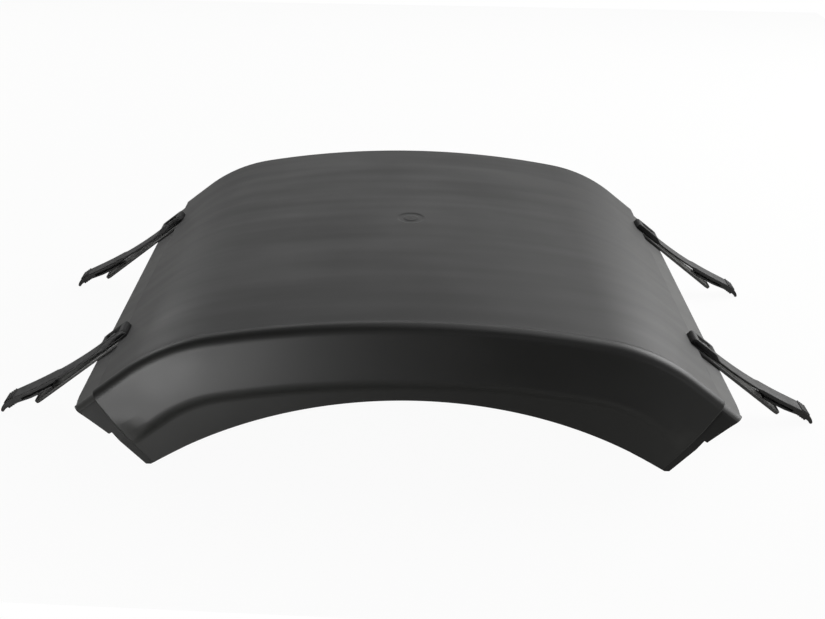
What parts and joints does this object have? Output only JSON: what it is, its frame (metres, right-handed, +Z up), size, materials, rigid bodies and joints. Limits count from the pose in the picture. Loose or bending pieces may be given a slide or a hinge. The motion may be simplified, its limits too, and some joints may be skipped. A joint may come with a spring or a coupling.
{
  "type": "wheel fender",
  "caption": "Arched black plastic mudguard section for twin wheels, with an outer skirt, stepped end strips and rubber hook straps that hold the next sections.",
  "frame": {"origin": "centre of the bounding box at ground level, where the strap tips touch", "axes": "+X along the vehicle, +Y along the axle from the outer wall to the inner lip, +Z up"},
  "size_m": [1.1446, 0.665, 0.2237],
  "materials": {
    "moulded_plastic": "fine grain",
    "strap_rubber": "satin",
    "tongue_plastic": "smooth",
    "rivet_metal": "black"
  },
  "bodies": {
    "root": {"fender_shell": "moulded_plastic", "strap_outer_left": "strap_rubber", "tongue_outer_left": "tongue_plastic", "rivet_outer_left": "rivet_metal", "washer_outer_left": "rivet_metal", "strap_outer_right": "strap_rubber", "tongue_outer_right": "tongue_plastic", "rivet_outer_right": "rivet_metal", "washer_outer_right": "rivet_metal", "strap_inner_left": "strap_rubber", "tongue_inner_left": "tongue_plastic", "rivet_inner_left": "rivet_metal", "washer_inner_left": "rivet_metal", "strap_inner_right": "strap_rubber", "tongue_inner_right": "tongue_plastic", "rivet_inner_right": "rivet_metal", "washer_inner_right": "rivet_metal"}
  },
  "joints": []
}
